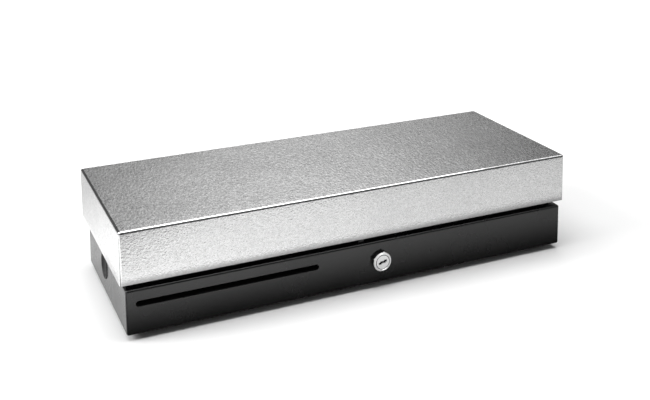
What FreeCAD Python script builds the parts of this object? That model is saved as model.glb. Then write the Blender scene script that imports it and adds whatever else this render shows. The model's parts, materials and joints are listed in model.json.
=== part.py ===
"""Flip-top cash drawer: a low steel case on rubber feet, under a grained stainless lid hinged at the rear.

Inside are an upright note and coin insert, a solenoid latch, a key lock and the mouth of a cheque slot.

Frame: millimetres, +Z up, +X to the right of a person facing the lock, +Y away from them. The origin is on
the floor, in the middle of the width and in the middle of the depth from the lock's face to the lid's rear
skirt. The drawer is drawn closed, with the latch drawn back and the key lock open.
"""
import math
import os
import re

import FreeCAD
import Part
import Sketcher

Vector = FreeCAD.Vector
Rotation = FreeCAD.Rotation
Placement = FreeCAD.Placement

# Driving dimensions, in millimetres and degrees. A "half" is measured from a middle line.
DIMENSIONS = [
    # whole object
    ("overall_height", 100.0),
    ("foot_height", 5.0),
    # lid
    ("lid_width", 460.0),
    ("lid_depth", 172.0),
    ("lid_height", 48.5),
    ("lid_sheet", 1.2),
    ("lid_hem", 2.5),
    # lower case
    ("case_width", 451.0),
    ("case_depth", 162.0),
    ("case_height", 41.5),
    ("case_sheet", 1.0),
    ("case_bend", 2.2),
    ("ledge", 8.0),
    ("rear_ledge", 2.4),
    # upstand that lines the opening
    ("frame_sheet", 1.0),
    ("frame_flange", 5.0),
    ("frame_rise", 15.5),
    ("frame_notch_rise", 4.0),
    # cheque slot in the front wall, and the mouth behind it
    ("media_left", -217.0),
    ("media_right", -45.2),
    ("media_z", 33.0),
    ("media_slot", 5.6),
    ("guide_wall", 2.0),
    ("guide_inset", 0.8),
    ("apron_reach", 14.0),
    # cable plugs in the side walls
    ("plug_y", 5.0),
    ("plug_z", 32.0),
    ("plug_bore", 10.2),
    ("plug_cap", 12.0),
    ("plug_rim", 0.8),
    ("plug_dish", 4.5),
    ("plug_lip", 0.8),
    ("plug_depth", 2.5),
    ("plug_skin", 1.6),
    # rubber posts under the lid
    ("buffer_length", 30.0),
    ("buffer_rise", 2.9),
    ("buffer_inset", 0.8),
    # insert
    ("tray_wall", 2.0),
    ("tray_play", 0.5),
    ("shelf_z", 36.0),
    ("bin_floor_z", 8.0),
    ("rim", 2.0),
    ("coin_right", 46.0),
    ("divider", 1.6),
    ("divider_top", 86.0),
    ("scoop_radius", 50.0),
    ("scoop_rise", 38.0),
    ("cup_play", 0.4),
    ("cup_wall", 1.4),
    ("cup_height", 27.0),
    ("cup_round", 20.0),
    # hinges
    ("hinge_x", 150.0),
    ("hinge_z", 50.0),
    ("hinge_offset", 4.4),
    ("hinge_length", 60.0),
    ("knuckle_length", 10.0),
    ("knuckle_gap", 0.2),
    ("knuckle_radius", 4.0),
    ("hinge_pin", 2.0),
    ("leaf_sheet", 1.2),
    ("leaf_drop", 22.0),
    ("lid_leaf_rise", 3.5),
    ("running_play", 0.05),
    ("hinge_screw_x", 22.0),
    ("hinge_screw_rise", 6.0),
    ("hinge_screw_head", 3.0),
    # lifting springs
    ("spring_wire", 0.6),
    ("spring_play", 0.4),
    ("spring_case_leg", 11.0),
    ("spring_lid_leg", 22.0),
    # inside the lid
    ("stiffener_length", 400.0),
    ("stiffener_hat", 24.0),
    ("stiffener_brim", 44.0),
    ("stiffener_depth", 7.0),
    ("stiffener_sheet", 1.0),
    ("bracket_length", 40.0),
    ("bracket_height", 16.0),
    ("bracket_play", 0.5),
    # striker on the lid's front skirt
    ("striker_width", 5.0),
    ("striker_root", 28.0),
    ("striker_sheet", 2.2),
    ("striker_y", 4.2),
    ("striker_foot", 24.0),
    ("striker_joggle_z", 56.0),
    ("striker_weld_z", 60.0),
    ("striker_weld_height", 28.0),
    ("striker_slot_play", 1.0),
    ("nose_reach", 2.2),
    ("nose_rise", 4.0),
    ("nose_round", 1.5),
    # key lock
    ("lock_x", 18.7),
    ("lock_z", 26.8),
    ("lock_stand", 5.0),
    ("lock_head", 9.2),
    ("lock_body", 8.0),
    ("lock_length", 16.0),
    ("plug_face", 6.6),
    ("plug_groove", 0.5),
    ("plug_shank", 5.5),
    ("plug_seat", 3.0),
    ("nut_half", 10.0),
    ("nut_height", 4.0),
    ("nib_radius", 1.1),
    ("nib_inset", 0.3),
    ("key_half", 2.9),
    ("key_wing", 4.4),
    ("key_step", 1.2),
    ("key_height", 2.1),
    ("key_depth", 8.0),
    ("tang_half", 1.4),
    ("crank", 3.0),
    ("crank_pin", 1.2),
    ("crank_disc", 6.0),
    ("crank_sheet", 2.0),
    ("bolt_sheet", 2.0),
    ("bolt_tip_x", 4.6),
    ("bolt_arm_x", 6.0),
    ("bolt_reach", 9.0),
    ("bolt_foot_z", 11.5),
    ("bolt_play", 0.1),
    ("guide_top", 17.0),
    # latch
    ("latch_y", 17.0),
    ("latch_z", 15.0),
    ("latch_swing", 12.0),
    ("latch_sheet", 2.2),
    ("latch_x", -1.4),
    ("latch_pin_radius", 2.0),
    ("latch_boss", 4.0),
    ("hook_play", 0.2),
    ("hook_height", 4.6),
    ("tip_play", 0.3),
    ("tail_reach", 8.5),
    ("tail_half", 1.6),
    ("ear_gap", 1.9),
    ("ear_sheet", 1.5),
    # solenoid
    ("solenoid_y", 30.0),
    ("solenoid_z", 24.0),
    ("solenoid_length", 32.0),
    ("solenoid_width", 22.0),
    ("solenoid_sheet", 2.0),
    ("plunger_radius", 4.0),
    ("plunger_length", 34.0),
    ("plunger_tip", 3.0),
    ("coil_radius", 9.0),
    ("link_radius", 1.5),
    ("link_play", 0.3),
    ("fork_play", 0.4),
    ("fork_depth", 5.6),
    ("collar_y", 6.0),
    ("collar_width", 1.5),
    ("collar_rim", 1.6),
    # switch under the latch
    ("switch_y", 2.0),
    ("switch_length", 10.8),
    ("switch_half", 1.8),
    ("switch_drop", 3.6),
    ("button_y", 6.0),
    ("button_radius", 1.0),
    ("button_length", 4.2),
    ("button_inside", 2.3),
    # socket in the back wall
    ("jack_x", 24.0),
    ("jack_z", 16.0),
    ("jack_half_width", 6.5),
    ("jack_half_height", 6.0),
    ("jack_depth", 15.0),
    ("jack_mouth_depth", 12.0),
    ("jack_mouth_half", 4.9),
    ("jack_mouth_low", 3.2),
    ("jack_mouth_high", 3.4),
    ("jack_catch_half", 1.7),
    # feet
    ("foot_x", 205.0),
    ("foot_y", 64.0),
    ("foot_radius", 9.0),
    ("foot_flare", 0.5),
    ("foot_round", 0.6),
    ("screw_radius", 2.0),
    ("screw_slot_half", 0.5),
]
ALIASES = {alias for alias, _ in DIMENSIONS}
COIN_CUPS = 8
NOTE_BINS = 6

# Places that the driving dimensions give, written as formulas of the sheet.
FRONT = "((lock_stand - lid_depth) / 2)"
LID_BACK = f"({FRONT} + lid_depth)"
CASE_BACK = f"({FRONT} + case_depth)"
CASE_TOP = "(foot_height + case_height)"
FLOOR_TOP = "(foot_height + case_sheet)"
LID_FOOT = "(overall_height - lid_height)"
HINGE_Y = f"({CASE_BACK} + hinge_offset)"
FRAME_TOP = f"({CASE_TOP} + frame_rise)"
FRAME_X = "(case_width / 2 - ledge)"
FRAME_FRONT = f"({FRONT} + ledge)"
FRAME_BACK = f"({CASE_BACK} - rear_ledge)"
TRAY_X = f"({FRAME_X} - frame_sheet - tray_play)"
TRAY_FRONT = f"({FRAME_FRONT} + frame_sheet + tray_play)"
TRAY_BACK = f"({FRAME_BACK} - frame_sheet - tray_play)"
LATCH_Y = f"({FRONT} + latch_y)"
LINK_RISE = "(solenoid_z - latch_z)"

# Windings of the springs, and the wires.
LIFT_SPRING_TURNS = 7
PLUNGER_SPRING_TURNS = 4
PLUNGER_SPRING_WIRE = 0.4
PLUNGER_SPRING_PLAY = 0.6
LOOM_RADIUS = 1.6
CLEAR = 0.05

X_AXIS = Vector(1, 0, 0)
Y_AXIS = Vector(0, 1, 0)
Z_AXIS = Vector(0, 0, 1)

doc = FreeCAD.newDocument("cash_drawer")
sheet = doc.addObject("Spreadsheet::Sheet", "dims")
for row, (alias, number) in enumerate(DIMENSIONS, 1):
    sheet.set(f"A{row}", alias)
    sheet.set(f"B{row}", str(number))
    sheet.setAlias(f"B{row}", alias)
doc.recompute()

pieces = []


def cell(word):
    return ("dims." if word[0] in ALIASES else "") + word[0]


def formula(text):
    """The text with each of the sheet's aliases turned into a reference to its cell."""
    return re.sub(r"[a-z][a-z_]*", cell, text)


def size(alias):
    return float(sheet.get(alias))


def bind(item, **properties):
    """Ties properties of a document object to formulas; x, y and z are its place."""
    for name, text in properties.items():
        target = f"Placement.Base.{name}" if name in "xyz" else name
        item.setExpression(target, formula(text))
    return item


def piece(item, label):
    """Marks a finished object as one of the drawer's pieces."""
    item.Label = label
    pieces.append(item)
    return item


# ---------------------------------------------------------------- solids and booleans


def box(name, x_range, y_range, z_range):
    """A box between two formulas along each axis."""
    block = doc.addObject("Part::Box", name)
    spans = [f"({high}) - ({low})" for low, high in (x_range, y_range, z_range)]
    bind(block, Length=spans[0], Width=spans[1], Height=spans[2])
    return bind(block, x=x_range[0], y=y_range[0], z=z_range[0])


AXES = {
    "x": Rotation(Vector(0, 1, 0), 90),
    "y": Rotation(Vector(1, 0, 0), -90),
    "z": Rotation(),
}


def rod(name, axis, start, radius, length):
    """A cylinder that runs in the positive direction of an axis from its start point."""
    cylinder = doc.addObject("Part::Cylinder", name)
    cylinder.Placement = Placement(Vector(), AXES[axis])
    bind(cylinder, Radius=radius, Height=length)
    return bind(cylinder, x=start[0], y=start[1], z=start[2])


def fuse(name, *items):
    joined = doc.addObject("Part::MultiFuse", name)
    joined.Shapes = list(items)
    joined.Refine = True
    return joined


def cut(name, base, *tools):
    removed = tools[0] if len(tools) == 1 else fuse(name + "_tools", *tools)
    result = doc.addObject("Part::Cut", name)
    result.Base = base
    result.Tool = removed
    result.Refine = True
    return result


def group(name, *items):
    """Separate solids that share one node."""
    together = doc.addObject("Part::Compound", name)
    together.Links = list(items)
    return together


# ---------------------------------------------------------------- bodies from sketches


def new_body(name):
    return doc.addObject("PartDesign::Body", name)


def new_sketch(body, name, role, offset="0"):
    """A sketch on one of the body's own origin planes, moved along that plane's normal."""
    sketch = body.newObject("Sketcher::SketchObject", name)
    base_plane = next(item for item in body.Origin.OriginFeatures if item.Role == role)
    sketch.AttachmentSupport = [(base_plane, "")]
    sketch.MapMode = "FlatFace"
    sketch.setExpression("AttachmentOffset.Base.z", formula(offset))
    return sketch


def outline(sketch, corners):
    """A closed outline of straight edges; each corner is a pair of formulas."""
    first = sketch.GeometryCount
    count = len(corners)
    turn = 2 * math.pi / count
    start = [Vector(math.cos(turn * i), math.sin(turn * i), 0) for i in range(count)]
    for i in range(count):
        sketch.addGeometry(Part.LineSegment(start[i], start[(i + 1) % count]), False)
    for i in range(count):
        following = first + (i + 1) % count
        sketch.addConstraint(Sketcher.Constraint("Coincident", first + i, 2, following, 1))
    for i, (across, up) in enumerate(corners):
        place_point(sketch, first + i, 1, across, up)


def place_point(sketch, geometry, point, across, up):
    for kind, text in (("DistanceX", across), ("DistanceY", up)):
        index = sketch.addConstraint(Sketcher.Constraint(kind, -1, 1, geometry, point, 1.0))
        sketch.setExpression(f"Constraints[{index}]", formula(text))


def rectangle(sketch, across, up):
    low, high = across
    bottom, top = up
    outline(sketch, [(low, bottom), (high, bottom), (high, top), (low, top)])


def circle(sketch, across, up, radius):
    index = sketch.addGeometry(Part.Circle(Vector(1, 1, 0), Vector(0, 0, 1), 1.0), False)
    place_point(sketch, index, 3, across, up)
    bound = sketch.addConstraint(Sketcher.Constraint("Radius", index, 1.0))
    sketch.setExpression(f"Constraints[{bound}]", formula(radius))


def pad(body, sketch, length, midplane=False, reverse=False):
    feature = body.newObject("PartDesign::Pad", sketch.Name + "_pad")
    feature.Profile = sketch
    feature.Midplane = midplane
    feature.Reversed = reverse
    bind(feature, Length=length)
    doc.recompute()
    return feature


def pocket(body, sketch, length, midplane=False, reverse=False):
    """Cuts the sketch out of the body, and makes sure that it did."""
    before = body.Shape.Volume
    feature = body.newObject("PartDesign::Pocket", sketch.Name + "_pocket")
    feature.Profile = sketch
    feature.Midplane = midplane
    feature.Reversed = reverse
    bind(feature, Length=length)
    doc.recompute()
    if not body.Shape.Volume < before:
        raise RuntimeError(f"{feature.Name} removed nothing")
    return feature


def revolve(body, sketch, axis="V_Axis"):
    feature = body.newObject("PartDesign::Revolution", sketch.Name + "_turned")
    feature.Profile = sketch
    feature.ReferenceAxis = (sketch, [axis])
    feature.Angle = 360
    doc.recompute()
    return feature


def fillet(body, radius, wanted):
    """Rounds the edges of the body's tip whose bounding box passes the test."""
    tip = body.Tip
    names = [f"Edge{i}" for i, edge in enumerate(tip.Shape.Edges, 1) if wanted(edge.BoundBox)]
    feature = body.newObject("PartDesign::Fillet", f"{body.Name}_round_{len(body.Group)}")
    feature.Base = (tip, names)
    bind(feature, Radius=radius)
    doc.recompute()
    return feature


def rounded_block(name, x_range, y_range, z_range, radius, wanted):
    """A padded rectangle with chosen edges rounded."""
    body = new_body(name)
    sketch = new_sketch(body, name + "_plan", "XY_Plane", z_range[0])
    rectangle(sketch, x_range, y_range)
    pad(body, sketch, f"({z_range[1]}) - ({z_range[0]})")
    fillet(body, radius, wanted)
    return body


def swept_wire(edges, radius):
    """A round wire of the given radius along edges that run on from one another."""
    first = edges[0]
    along = first.tangentAt(first.FirstParameter)
    profile = Part.Wire([Part.Circle(first.valueAt(first.FirstParameter), along, radius).toShape()])
    return Part.Wire(edges).makePipeShell([profile], True, True)


def smooth_curve(points):
    curve = Part.BSplineCurve()
    curve.interpolate(points)
    return [curve.toShape()]


def coil_turns(start, axis, across, rise, pitch, half_turns):
    """Half turns of a spring that meet without a kink: each is a semicircle tipped by half the pitch.

    across reaches from the start to the far side of the coil, and rise is the way the wire sets off.
    """
    edges = []
    for i in range(half_turns):
        near = start + axis * (pitch / 2 * i)
        far = near + axis * (pitch / 2)
        if i % 2:
            near += across
        else:
            far += across
        over = rise * ((far - near).Length / 2 * (-1) ** i)
        edges.append(Part.Arc(near, (near + far) * 0.5 + over, far).toShape())
    return edges


def quarter_turn(start, first, second):
    """A quarter circle that sets off along the first vector and leaves along the second, of equal lengths."""
    middle = start + first * math.sin(math.pi / 4) + second * (1 - math.cos(math.pi / 4))
    return Part.Arc(start, middle, start + first + second).toShape()


# ---------------------------------------------------------------- lower case


def both_sides(half):
    return (f"-({half})", half)


def mirrored(span, side):
    """The span itself on the right, and its mirror image on the left."""
    low, high = span
    return span if side == "right" else (f"-({high})", f"-({low})")


def foot_places():
    return [(f"{side} * foot_x", f"{end} * foot_y") for side in (-1, 1) for end in (-1, 1)]


def jack_span(axis, half):
    return (f"jack_{axis} - {half}", f"jack_{axis} + {half}")


def case_body():
    """Folded steel tray with a ledge turned in along its top, and every opening in it."""
    sheet = "case_sheet"
    outer = rounded_block(
        "case_outside", both_sides("case_width / 2"), (FRONT, CASE_BACK), ("foot_height", CASE_TOP),
        "case_bend", lambda b: True)
    inner = rounded_block(
        "case_inside", both_sides("case_width / 2 - case_sheet"),
        (f"{FRONT} + {sheet}", f"{CASE_BACK} - {sheet}"), (FLOOR_TOP, f"{CASE_TOP} - {sheet}"),
        "case_bend - case_sheet", lambda b: True)
    through_top = (f"{CASE_TOP} - 2 * {sheet}", f"{CASE_TOP} + {sheet}")
    through_front = (f"{FRONT} - {sheet}", f"{FRONT} + 2 * {sheet}")
    through_back = (f"{CASE_BACK} - 2 * {sheet}", f"{CASE_BACK} + {sheet}")
    opening = box("case_opening", both_sides(FRAME_X), (FRAME_FRONT, FRAME_BACK), through_top)
    half = "media_slot / 2"
    slot = box("case_media_slot", (f"media_left + {half}", f"media_right - {half}"), through_front,
               (f"media_z - {half}", f"media_z + {half}"))
    ends = []
    for side, place in (("left", f"media_left + {half}"), ("right", f"media_right - {half}")):
        start = (place, through_front[0], "media_z")
        ends.append(rod(f"case_media_end_{side}", "y", start, half, f"3 * {sheet}"))
    lock_foot = ("lock_x", through_front[0], "lock_z")
    lock_hole = rod("case_lock_hole", "y", lock_foot, "lock_body", f"3 * {sheet}")
    plug_foot = ("-case_width", "plug_y", "plug_z")
    plug_holes = rod("case_plug_holes", "x", plug_foot, "plug_bore", "2 * case_width")
    striker_slot = box("case_striker_slot", both_sides("striker_width / 2 + striker_slot_play"),
                       (f"{FRONT} + 2 * {sheet}", f"{FRAME_FRONT} + 2 * {sheet}"), through_top)
    jack_hole = box("case_jack_hole", jack_span("x", "jack_half_width"), through_back,
                    jack_span("z", "jack_half_height"))
    foot_holes = []
    for i, (x, y) in enumerate(foot_places()):
        foot_holes.append(rod(f"case_foot_hole_{i}", "z", (x, y, f"foot_height - {sheet}"), "screw_radius",
                              f"3 * {sheet}"))
    body = cut("case_body", outer, inner, opening, slot, *ends, lock_hole, plug_holes, striker_slot,
               jack_hole, *foot_holes)
    return piece(body, "case_body")


def inner_frame():
    """Welded ring with an upstand that lines the opening and a flange under the case's ledge."""
    bottom = f"({CASE_TOP} - case_sheet - frame_sheet)"
    below = f"{bottom} - frame_sheet"
    well = box("frame_well", both_sides(f"{FRAME_X} - frame_sheet"),
               (f"{FRAME_FRONT} + frame_sheet", f"{FRAME_BACK} - frame_sheet"),
               (below, f"{FRAME_TOP} + frame_sheet"))
    upstand = box("frame_upstand", both_sides(FRAME_X), (FRAME_FRONT, FRAME_BACK), (bottom, FRAME_TOP))
    flange = box("frame_flange_plate", both_sides(f"{FRAME_X} + frame_flange"),
                 (f"{FRAME_FRONT} - frame_flange", FRAME_BACK), (bottom, f"{bottom} + frame_sheet"))
    notch = box("frame_notch", both_sides("striker_width / 2 + striker_slot_play"),
                (f"{FRAME_FRONT} - ledge", f"{FRAME_FRONT} + 2 * frame_sheet"),
                (below, f"{CASE_TOP} + frame_notch_rise"))
    ring = cut("inner_frame", fuse("frame_solid", upstand, flange), well, notch)
    return piece(ring, "inner_frame")


def side_plugs():
    """Dished rubber plugs that close the cable holes in the side walls; each snaps in behind the sheet."""
    inside = "-case_sheet"
    deep = "-case_sheet - plug_depth"
    dish = []
    for share in (0, 0.4, 0.7, 0.9):
        dish.append((f"plug_bore * {share}", f"-plug_dish * (1 - {share} ^ 2)"))
    back = []
    for share in (0.6, 0.35, 0):
        back.append((f"plug_bore * {share}", f"-plug_dish * (1 - {share} ^ 2) - plug_skin"))
    for side, sign, turn in (("left", "-", -90), ("right", "", 90)):
        body = new_body(f"side_plug_{side}")
        sketch = new_sketch(body, f"side_plug_{side}_profile", "XZ_Plane")
        outline(sketch, dish + [
            ("plug_bore", "plug_rim"),
            ("plug_cap - plug_rim / 2", "plug_rim"),
            ("plug_cap", "plug_rim / 2"),
            ("plug_cap", "0"),
            ("plug_bore", "0"),
            ("plug_bore", inside),
            ("plug_bore + plug_lip", inside),
            ("plug_bore - plug_lip", deep),
            ("plug_bore - plug_skin", deep),
        ] + back)
        revolve(body, sketch)
        body.Placement = Placement(Vector(), Rotation(Y_AXIS, turn))
        bind(body, x=f"{sign}case_width / 2", y="plug_y", z="plug_z")
        piece(body, f"side_plug_{side}")


def feet():
    """Four rubber feet, each screwed up into the floor of the case."""
    names = ["foot_front_left", "foot_rear_left", "foot_front_right", "foot_rear_right"]
    recess = "foot_radius / 2"
    middle = "foot_height / 2"
    screws = []
    for name, (x, y) in zip(names, foot_places()):
        body = new_body(name)
        sketch = new_sketch(body, name + "_profile", "XZ_Plane")
        outline(sketch, [
            ("screw_radius", "foot_height"),
            ("screw_radius", middle),
            (recess, middle),
            (recess, "0"),
            ("foot_radius - 3 * foot_flare", "0"),
            ("foot_radius - foot_flare", "foot_round"),
            ("foot_radius + foot_flare", "foot_height"),
        ])
        revolve(body, sketch)
        bind(body, x=x, y=y)
        piece(body, name)
        head = rod(name + "_screw_head", "z", (x, y, "foot_round"), f"{recess} - screw_slot_half",
                   f"{middle} - foot_round")
        slot = box(name + "_screw_slot", (f"{x} - {recess}", f"{x} + {recess}"),
                   (f"{y} - screw_slot_half", f"{y} + screw_slot_half"), ("0", "2 * foot_round"))
        shank = rod(name + "_screw_shank", "z", (x, y, f"{middle} - 0.1"), "screw_radius", "foot_height")
        screws.append(cut(name + "_screw", fuse(name + "_screw_solid", head, shank), slot))
    piece(group("foot_screws", *screws), "foot_screws")


def media_slot_guide():
    """Plastic mouth behind the cheque slot, with an apron that leads paper in under the coin shelf."""
    low, high = "media_z - media_slot / 2", "media_z + media_slot / 2"
    front = f"{FRONT} + case_sheet"
    across = ("media_left - guide_wall", "media_right + guide_wall")
    mouth = box("guide_mouth", across, (front, f"{FRAME_FRONT} + guide_inset"),
                (f"{low} - guide_wall", f"{high} + guide_wall"))
    apron = box("guide_apron", across, (front, f"{FRAME_FRONT} + apron_reach"), (f"{low} - guide_wall", low))
    through = (FRONT, f"{FRAME_FRONT} + guide_wall")
    slot = box("guide_slot", ("media_left", "media_right"), through, (low, high))
    return piece(cut("media_slot_guide", fuse("guide_solid", mouth, apron), slot), "media_slot_guide")


def rest_buffers():
    """Rubber posts on the side ledges that the closed lid rests on."""
    ledge = (f"{FRAME_X} + buffer_inset", "case_width / 2 - case_bend + 0.5")
    for side in ("left", "right"):
        post = box(f"rest_buffer_{side}", mirrored(ledge, side), both_sides("buffer_length / 2"),
                   (CASE_TOP, f"{FRAME_TOP} + buffer_rise"))
        piece(post, f"rest_buffer_{side}")


# ---------------------------------------------------------------- insert and coin cups


def insert_tray():
    """One moulding: a shelf for the coin cups on the left and deep bins for upright notes on the right."""
    coin_wall = "(coin_right + tray_wall)"
    rim_top = f"{FRAME_TOP} + rim"
    depth = (TRAY_FRONT, TRAY_BACK)
    inside = (f"{TRAY_FRONT} + tray_wall", f"{TRAY_BACK} - tray_wall")
    above = "overall_height"
    rim_plate = box("tray_rim", both_sides(FRAME_X), (FRAME_FRONT, FRAME_BACK), (FRAME_TOP, rim_top))
    coin_block = box("tray_coin_block", (f"-{TRAY_X}", coin_wall), depth, ("shelf_z", rim_top))
    note_block = box("tray_note_block", ("coin_right", TRAY_X), depth, ("bin_floor_z", rim_top))
    coin_well = box("tray_coin_well", (f"-{TRAY_X} + tray_wall", "coin_right"), inside,
                    ("shelf_z + tray_wall", above))
    bin_width = f"(({TRAY_X} - tray_wall - {coin_wall} - {NOTE_BINS - 1} * divider) / {NOTE_BINS})"
    bins = []
    for i in range(NOTE_BINS):
        left = f"({coin_wall} + {i} * ({bin_width} + divider))"
        bins.append(box(f"tray_bin_{i}", (left, f"{left} + {bin_width}"), inside,
                        ("bin_floor_z + tray_wall", above)))
    plates = []
    for i in range(NOTE_BINS + 1):
        left = f"({coin_wall} - divider + {i} * ({bin_width} + divider))"
        plates.append(box(f"tray_plate_{i}", (left, f"{left} + divider"), inside, (FRAME_TOP, "divider_top")))
    middle = f"({inside[0]} + {inside[1]}) / 2"
    scoop = rod("tray_scoop", "x", ("0", middle, "divider_top + scoop_rise"), "scoop_radius", "lid_width / 2")
    fins = cut("tray_fins", fuse("tray_plates", *plates), scoop)
    solid = fuse("tray_solid", rim_plate, coin_block, note_block)
    hollow = cut("tray_hollow", solid, coin_well, *bins)
    return piece(fuse("insert_tray", hollow, fins), "insert_tray")


def coin_cups():
    """Loose cups with a curved floor, side by side on the shelf; each lifts out when the lid is open."""
    left = f"(-{TRAY_X} + tray_wall)"
    pitch = f"((coin_right - {left}) / {COIN_CUPS})"
    half = f"(({pitch} - cup_play) / 2 - cup_wall)"
    front = f"({TRAY_FRONT} + tray_wall + cup_play)"
    back = f"({TRAY_BACK} - tray_wall - cup_play)"
    for i in range(COIN_CUPS):
        name = f"coin_cup_{i + 1}"
        body = new_body(name)
        outer = new_sketch(body, name + "_outside", "YZ_Plane")
        rectangle(outer, (front, back), ("0", "cup_height"))
        pad(body, outer, f"{pitch} - cup_play", midplane=True)
        inner = new_sketch(body, name + "_inside", "XY_Plane", "cup_height")
        rectangle(inner, both_sides(half), (f"{front} + cup_wall", f"{back} - cup_wall"))
        pocket(body, inner, "cup_height - cup_wall")
        floor = size("cup_wall")
        fillet(body, "cup_round - cup_wall",
               lambda b: b.XLength > 1 and b.ZLength < 0.1 and abs(b.ZMax - floor) < 0.1)
        fillet(body, "cup_round", lambda b: b.XLength > 1 and b.ZMax < 0.1)
        bind(body, x=f"{left} + ({i} + 0.5) * {pitch}", z="shelf_z + tray_wall")
        piece(body, name)


# ---------------------------------------------------------------- hinges


def hinge_leaf(name, starts, plate, web, bore, gap, middle):
    """A plate with two knuckles: bored for the pin, and cut away between them for the spring."""
    knuckles = []
    webs = []
    for i, at in enumerate(starts):
        start = (at, HINGE_Y, "hinge_z")
        knuckles.append(rod(f"{name}_knuckle_{i}", "x", start, "knuckle_radius", "knuckle_length"))
        webs.append(box(f"{name}_web_{i}", (at, f"{at} + knuckle_length"), *web))
    hole_foot = (f"{middle} - hinge_length / 2", HINGE_Y, "hinge_z")
    hole = rod(f"{name}_hole", "x", hole_foot, bore, "hinge_length")
    clear = "(hinge_length / 2 - 2 * (knuckle_length + knuckle_gap))"
    room = box(f"{name}_window", (f"{middle} - {clear}", f"{middle} + {clear}"),
               (f"{HINGE_Y} - 1.5 * knuckle_radius", f"{HINGE_Y} + 1.5 * knuckle_radius"), gap)
    return piece(cut(name, fuse(f"{name}_solid", plate, *knuckles, *webs), hole, room), name)


def hinge(side, sign):
    """A steel hinge with two knuckles on each leaf, a pin, and room between them for the spring."""
    middle = f"({sign} * hinge_x)"
    start = f"({middle} - hinge_length / 2)"
    end = f"({middle} + hinge_length / 2)"
    step = "(knuckle_length + knuckle_gap)"
    across = (start, end)
    pivot_foot = "hinge_z - knuckle_radius"

    outside = f"{CASE_BACK} + leaf_sheet"
    case_plate = box(f"hinge_case_plate_{side}", across, (CASE_BACK, outside),
                     (f"{pivot_foot} - leaf_drop", f"{pivot_foot} - 3 * knuckle_gap"))
    case_web = ((CASE_BACK, f"{outside} + 4 * knuckle_gap"),
                (f"{pivot_foot} - knuckle_radius / 2", "hinge_z"))
    hinge_leaf(f"hinge_case_leaf_{side}", [start, f"({end} - knuckle_length)"], case_plate, case_web,
               "hinge_pin", (f"{pivot_foot} - 2 * knuckle_radius", "hinge_z + 2 * knuckle_radius"), middle)

    skirt = f"{LID_BACK} - lid_sheet"
    inner = f"({skirt} - leaf_sheet)"
    foot = f"({LID_FOOT} + lid_leaf_rise)"
    lid_plate = box(f"hinge_lid_plate_{side}", across, (inner, skirt), (foot, f"{foot} + leaf_drop"))
    lid_web = ((f"{inner} - 4 * knuckle_gap", skirt), ("hinge_z", f"{foot} + 2.5"))
    hinge_leaf(f"hinge_lid_leaf_{side}", [f"({start} + {step})", f"({end} - {step} - knuckle_length)"],
               lid_plate, lid_web, "hinge_pin + running_play",
               ("hinge_z - 2 * knuckle_radius", f"{foot} + 10.5"), middle)

    pin = rod(f"hinge_pin_{side}", "x", (start, HINGE_Y, "hinge_z"), "hinge_pin", "hinge_length")
    piece(pin, f"hinge_pin_{side}")


def front_y():
    return (size("lock_stand") - size("lid_depth")) / 2


def torsion_spring(side, sign):
    """Coil round the hinge pin that lifts the lid: one leg bears on the case, the other on the lid's leaf."""
    wire = size("spring_wire")
    coil = size("hinge_pin") + wire + size("spring_play")
    pivot_y = front_y() + size("case_depth") + size("hinge_offset")
    leaf_y = front_y() + size("lid_depth") - size("lid_sheet") - size("leaf_sheet")
    room = size("hinge_length") - 4 * size("knuckle_length") - 5 * wire
    start = Vector(sign * size("hinge_x") - room / 2, pivot_y - coil, size("hinge_z"))
    finish = start + X_AXIS * room
    edges = [Part.LineSegment(start - Z_AXIS * size("spring_case_leg"), start).toShape()]
    edges += coil_turns(start, X_AXIS, Y_AXIS * (2 * coil), Z_AXIS, room / LIFT_SPRING_TURNS,
                        2 * LIFT_SPRING_TURNS)
    edges.append(quarter_turn(finish, Z_AXIS * coil, Y_AXIS * coil))
    top = finish + (Y_AXIS + Z_AXIS) * coil
    bend = leaf_y - wire - 2 * CLEAR - pivot_y
    edges.append(quarter_turn(top, Y_AXIS * bend, Z_AXIS * bend))
    foot = top + (Y_AXIS + Z_AXIS) * bend
    tip = Vector(foot.x, foot.y, size("hinge_z") + size("spring_lid_leg"))
    edges.append(Part.LineSegment(foot, tip).toShape())
    spring = doc.addObject("Part::Feature", f"torsion_spring_{side}")
    spring.Shape = swept_wire(edges, wire)
    piece(spring, f"torsion_spring_{side}")


def hinge_screws():
    """Pan-head screws that hold the two lower leaves to the case's back wall."""
    screws = []
    z = "(hinge_z - knuckle_radius - leaf_drop + hinge_screw_rise)"
    seat = f"{CASE_BACK} + leaf_sheet"
    head = "hinge_screw_head"
    for side in (-1, 1):
        for place in (-1, 1):
            name = f"hinge_screw_{len(screws)}"
            x = f"({side} * hinge_x + {place} * hinge_screw_x)"
            pan = rod(name + "_head", "y", (x, seat, z), head, f"0.6 * {head}")
            slot = box(name + "_slot", (f"{x} - {head}", f"{x} + {head}"),
                       (f"{seat} + {head} / 3", f"{seat} + {head}"),
                       (f"{z} - {head} / 7.5", f"{z} + {head} / 7.5"))
            screws.append(cut(name, pan, slot))
    piece(group("hinge_screws", *screws), "hinge_screws")


# ---------------------------------------------------------------- lid


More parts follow.
